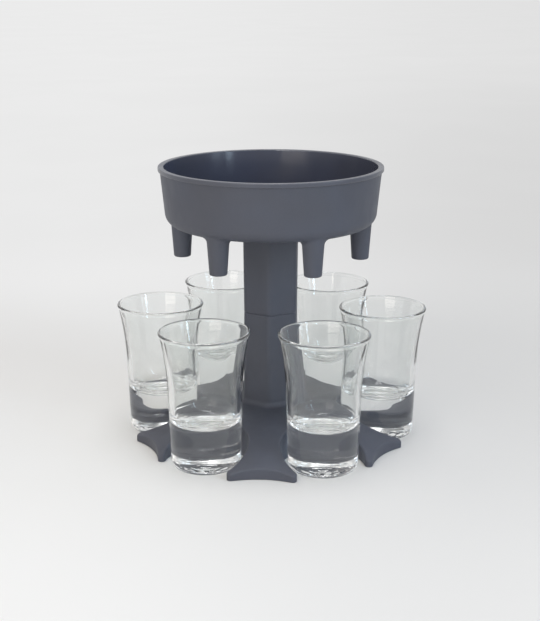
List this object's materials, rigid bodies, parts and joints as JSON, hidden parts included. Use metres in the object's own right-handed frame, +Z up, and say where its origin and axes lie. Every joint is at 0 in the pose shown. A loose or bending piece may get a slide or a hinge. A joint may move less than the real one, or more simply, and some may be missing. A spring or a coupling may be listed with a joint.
{
  "type": "party shot dispenser",
  "caption": "Round bowl with drip spouts on a six-sided stem, plugged onto a star-shaped foot, with flared thick-based shot glasses between its arms.",
  "frame": {"origin": "on the stem's axis at table level", "axes": "+Z up along the stem, one arm of the foot towards -Y, one spout and its glass on +X"},
  "size_m": [0.1624, 0.1466, 0.1434],
  "materials": {
    "moulded_plastic": "fine satin texture, slate grey",
    "clear_glass": "clear pressed glass, fire polished rim"
  },
  "bodies": {
    "foot": {"foot": "moulded_plastic"},
    "bowl": {"bowl": "moulded_plastic"},
    "shot_glass_1": {"shot_glass_1": "clear_glass"},
    "shot_glass_2": {"shot_glass_2": "clear_glass"},
    "shot_glass_3": {"shot_glass_3": "clear_glass"},
    "shot_glass_4": {"shot_glass_4": "clear_glass"},
    "shot_glass_5": {"shot_glass_5": "clear_glass"},
    "shot_glass_6": {"shot_glass_6": "clear_glass"}
  },
  "joints": [
    {"name": "bowl_lift", "type": "slide", "parent": "foot", "child": "bowl", "axis": [0, 0, 1], "range_m": [0, 0.06]},
    {"name": "shot_glass_1_slide", "type": "slide", "parent": "foot", "child": "shot_glass_1", "axis": [1, 0, 0], "range_m": [0, 0.06]},
    {"name": "shot_glass_2_slide", "type": "slide", "parent": "foot", "child": "shot_glass_2", "axis": [0.5, 0.866, 0], "range_m": [0, 0.06]},
    {"name": "shot_glass_3_slide", "type": "slide", "parent": "foot", "child": "shot_glass_3", "axis": [-0.5, 0.866, 0], "range_m": [0, 0.06]},
    {"name": "shot_glass_4_slide", "type": "slide", "parent": "foot", "child": "shot_glass_4", "axis": [-1, 0, 0], "range_m": [0, 0.06]},
    {"name": "shot_glass_5_slide", "type": "slide", "parent": "foot", "child": "shot_glass_5", "axis": [-0.5, -0.866, 0], "range_m": [0, 0.06]},
    {"name": "shot_glass_6_slide", "type": "slide", "parent": "foot", "child": "shot_glass_6", "axis": [0.5, -0.866, 0], "range_m": [0, 0.06]}
  ]
}
